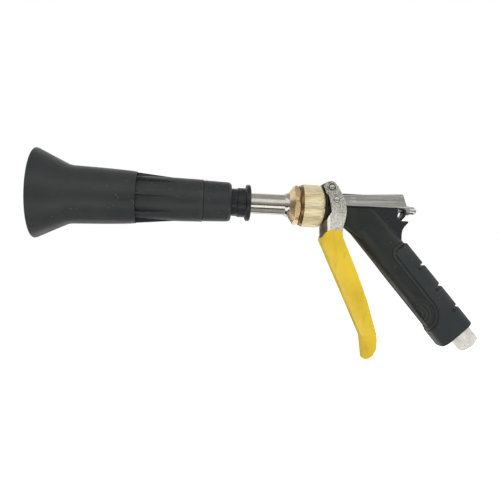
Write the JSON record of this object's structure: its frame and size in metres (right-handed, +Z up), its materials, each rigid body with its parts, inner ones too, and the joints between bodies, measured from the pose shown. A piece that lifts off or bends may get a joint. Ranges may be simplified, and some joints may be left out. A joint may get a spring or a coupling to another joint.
{
  "type": "hose spray nozzle",
  "caption": "Trigger-operated hose spray gun with a wide bell mouth, twist-adjusted spray head, brass couplings, sleeved lever, pull-rod valve and a rubber-padded handle.",
  "frame": {"origin": "centre of the hose inlet's mouth, at the bottom of the handle", "axes": "+X along the barrel from the bell mouth towards the valve rod's rear end, +Z up, Y across the gun; the plane Y = 0 is its plane of symmetry"},
  "size_m": [0.4719, 0.092, 0.2055],
  "materials": {
    "black_plastic": "matt moulded, charcoal black",
    "knob_plastic": "satin moulded, blue-black",
    "grip_rubber": "matt rubber, blue-grey black",
    "satin_nickel": "satin nickel plate",
    "brass": "turned, pale gold",
    "lever_steel": "satin, finely speckled plating",
    "stainless": "brushed lengthways",
    "spring_steel": "drawn wire",
    "yellow_vinyl": "satin dipped vinyl, yellow",
    "nylon": "natural nylon",
    "seal_rubber": "black nitrile"
  },
  "bodies": {
    "gun_body": {"lance_tube": "satin_nickel", "tube_collar": "satin_nickel", "gland_nut": "brass", "union_nut": "brass", "union_seal": "seal_rubber", "valve_body": "brass", "valve_seat": "nylon", "spring_seat": "brass", "stem_packing": "nylon", "packing_nut": "brass", "return_spring": "spring_steel", "handle_shell_left": "black_plastic", "handle_shell_right": "black_plastic", "handle_screws": "stainless", "grip_pad": "grip_rubber", "inlet_pipe": "satin_nickel", "inlet_fitting": "satin_nickel", "inlet_seal": "seal_rubber", "pivot_bush": "brass", "pivot_screw": "stainless", "pivot_nut": "stainless", "nozzle_holder": "brass", "nozzle_o_ring": "seal_rubber", "nozzle_tip": "brass", "swirl_core": "brass"},
    "head_carrier": {"knob_o_ring": "seal_rubber"},
    "spray_head": {"bell_shroud": "black_plastic", "shroud_core": "black_plastic", "rear_collar": "black_plastic", "adjuster_knob": "knob_plastic"},
    "trigger": {"lever": "lever_steel", "lever_sleeve": "yellow_vinyl", "link_rivets": "stainless"},
    "yoke_strap": {"yoke": "stainless"},
    "valve_stem": {"valve_rod": "stainless", "valve_cone": "nylon", "rod_end_nut": "satin_nickel"}
  },
  "joints": [
    {"name": "lever_pivot", "type": "hinge", "parent": "gun_body", "child": "trigger", "pos_m": [-0.16023, 0, 0.16071], "axis": [0, -1, 0], "range_deg": [0, 16], "stiffness_Nm_per_rad": 3, "springref_deg": -20.05},
    {"name": "yoke_pivot", "type": "hinge", "parent": "trigger", "child": "yoke_strap", "pos_m": [-0.15453, 0, 0.14811], "axis": [0, -1, 0], "range_deg": [-17.57, 0]},
    {"name": "valve_pull", "type": "slide", "parent": "gun_body", "child": "valve_stem", "axis": [1, 0, 0], "range_m": [0, 0.00305], "deforming": ["return_spring"]},
    {"name": "head_travel", "type": "slide", "parent": "gun_body", "child": "head_carrier", "axis": [-1, 0, 0], "range_m": [0, 0.006]},
    {"name": "head_turn", "type": "hinge", "parent": "head_carrier", "child": "spray_head", "pos_m": [-0.30373, 0, 0.14111], "axis": [-1, 0, 0], "range_deg": [0, 540]}
  ],
  "couplings": [
    {"joint": "yoke_pivot", "follows": "lever_pivot", "ratio": -1.0974},
    {"joint": "valve_pull", "follows": "lever_pivot", "m_per_rad": 0.010864},
    {"joint": "head_travel", "follows": "head_turn", "m_per_rad": 0.00063662}
  ]
}
